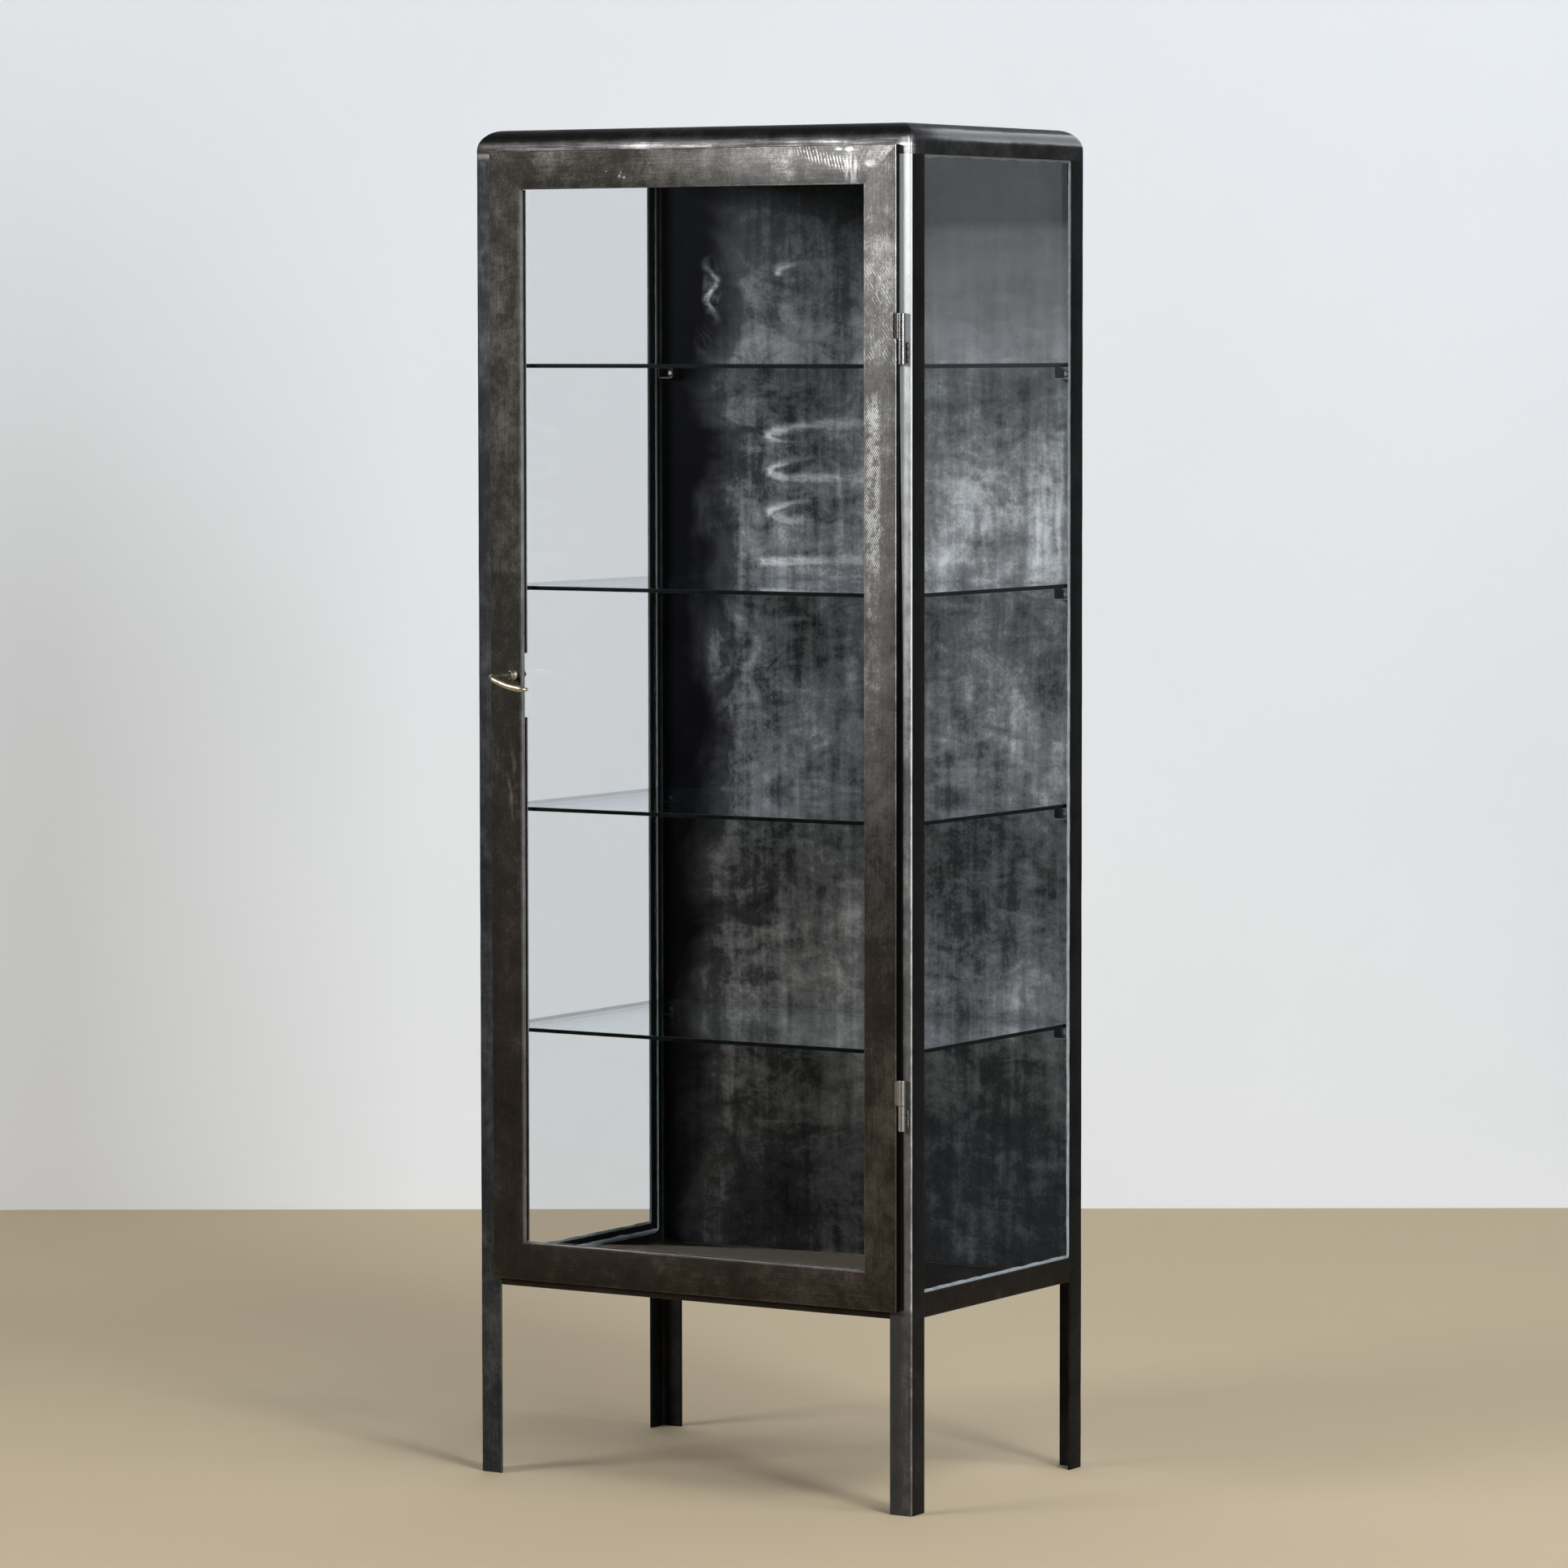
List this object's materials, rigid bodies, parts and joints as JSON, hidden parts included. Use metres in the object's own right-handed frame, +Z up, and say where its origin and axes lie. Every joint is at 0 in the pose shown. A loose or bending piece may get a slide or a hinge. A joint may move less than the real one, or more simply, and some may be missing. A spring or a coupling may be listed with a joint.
{
  "type": "medicine cabinet",
  "caption": "Tall free-standing glazed steel cabinet on angle legs, with a hinged glass door, turning lever latch, glass sides and loose glass shelves for medical supplies.",
  "frame": {"origin": "on the floor, under the centre of the whole bounding box, door and lever included", "axes": "+Z up, front with the door faces -Y, hinges on the +X side"},
  "size_m": [0.614, 0.4746, 1.64],
  "materials": {
    "post_steel": "bare steel, dark oiled patina, ground edges",
    "rail_steel": "bare steel, dark oiled patina",
    "cap_steel": "ground steel, dark patina",
    "sheet_steel": "dark sheet with wiped smears",
    "pane_glass": "clear float glass",
    "shelf_glass": "clear float glass, dark green polished edges",
    "putty": "pale grey glazing putty",
    "bracket_steel": "bent strip, dull",
    "screw_steel": "bright zinc",
    "hinge_steel": "turned steel, polished by use",
    "washer_brass": "worn brass",
    "weld_steel": "weld bead, dark",
    "door_steel": "bare steel, brown patina with grinder marks",
    "bead_steel": "bare steel, dark",
    "nickel": "worn nickel plate on brass",
    "latch_steel": "machined steel, dull"
  },
  "bodies": {
    "cabinet": {"post_front_left": "post_steel", "post_front_right": "post_steel", "post_rear_left": "post_steel", "post_rear_right": "post_steel", "rail_bottom_front": "rail_steel", "rail_bottom_rear": "rail_steel", "rail_bottom_left": "rail_steel", "rail_bottom_right": "rail_steel", "top_cap": "cap_steel", "floor_panel": "sheet_steel", "back_panel": "sheet_steel", "side_glass_left": "pane_glass", "side_glass_right": "pane_glass", "shelf_1": "shelf_glass", "shelf_2": "shelf_glass", "shelf_3": "shelf_glass", "shelf_4": "shelf_glass", "side_putty_left": "putty", "side_putty_right": "putty", "side_bed_left": "putty", "side_bed_right": "putty", "brackets_1": "bracket_steel", "brackets_2": "bracket_steel", "brackets_3": "bracket_steel", "brackets_4": "bracket_steel", "bracket_screws_rear": "screw_steel", "bracket_screws_front": "screw_steel", "hinge_lower_knuckles": "hinge_steel", "hinge_pins": "hinge_steel", "hinge_washers": "washer_brass", "hinge_welds": "weld_steel"},
    "door": {"door_stile_left": "door_steel", "door_stile_right": "door_steel", "door_rail_top": "door_steel", "door_rail_bottom": "door_steel", "door_glass": "pane_glass", "bead_top": "bead_steel", "bead_bottom": "bead_steel", "bead_right": "bead_steel", "bead_left_upper": "bead_steel", "bead_left_lower": "bead_steel", "bead_screws": "screw_steel", "hinge_upper_knuckles": "hinge_steel", "handle_rosette": "nickel", "bush_nut": "latch_steel"},
    "handle": {"lever_handle": "nickel", "handle_spindle": "latch_steel", "latch_spacer": "latch_steel", "latch_tongue": "latch_steel", "latch_nut": "latch_steel"}
  },
  "joints": [
    {"name": "door_hinge", "type": "hinge", "parent": "cabinet", "child": "door", "pos_m": [0.297, -0.17824, 0.9], "axis": [0, 0, 1], "range_deg": [0, 160]},
    {"name": "handle_turn", "type": "hinge", "parent": "door", "child": "handle", "pos_m": [-0.25, -0.18274, 0.9815], "axis": [0, 1, 0], "range_deg": [0, 75]}
  ]
}
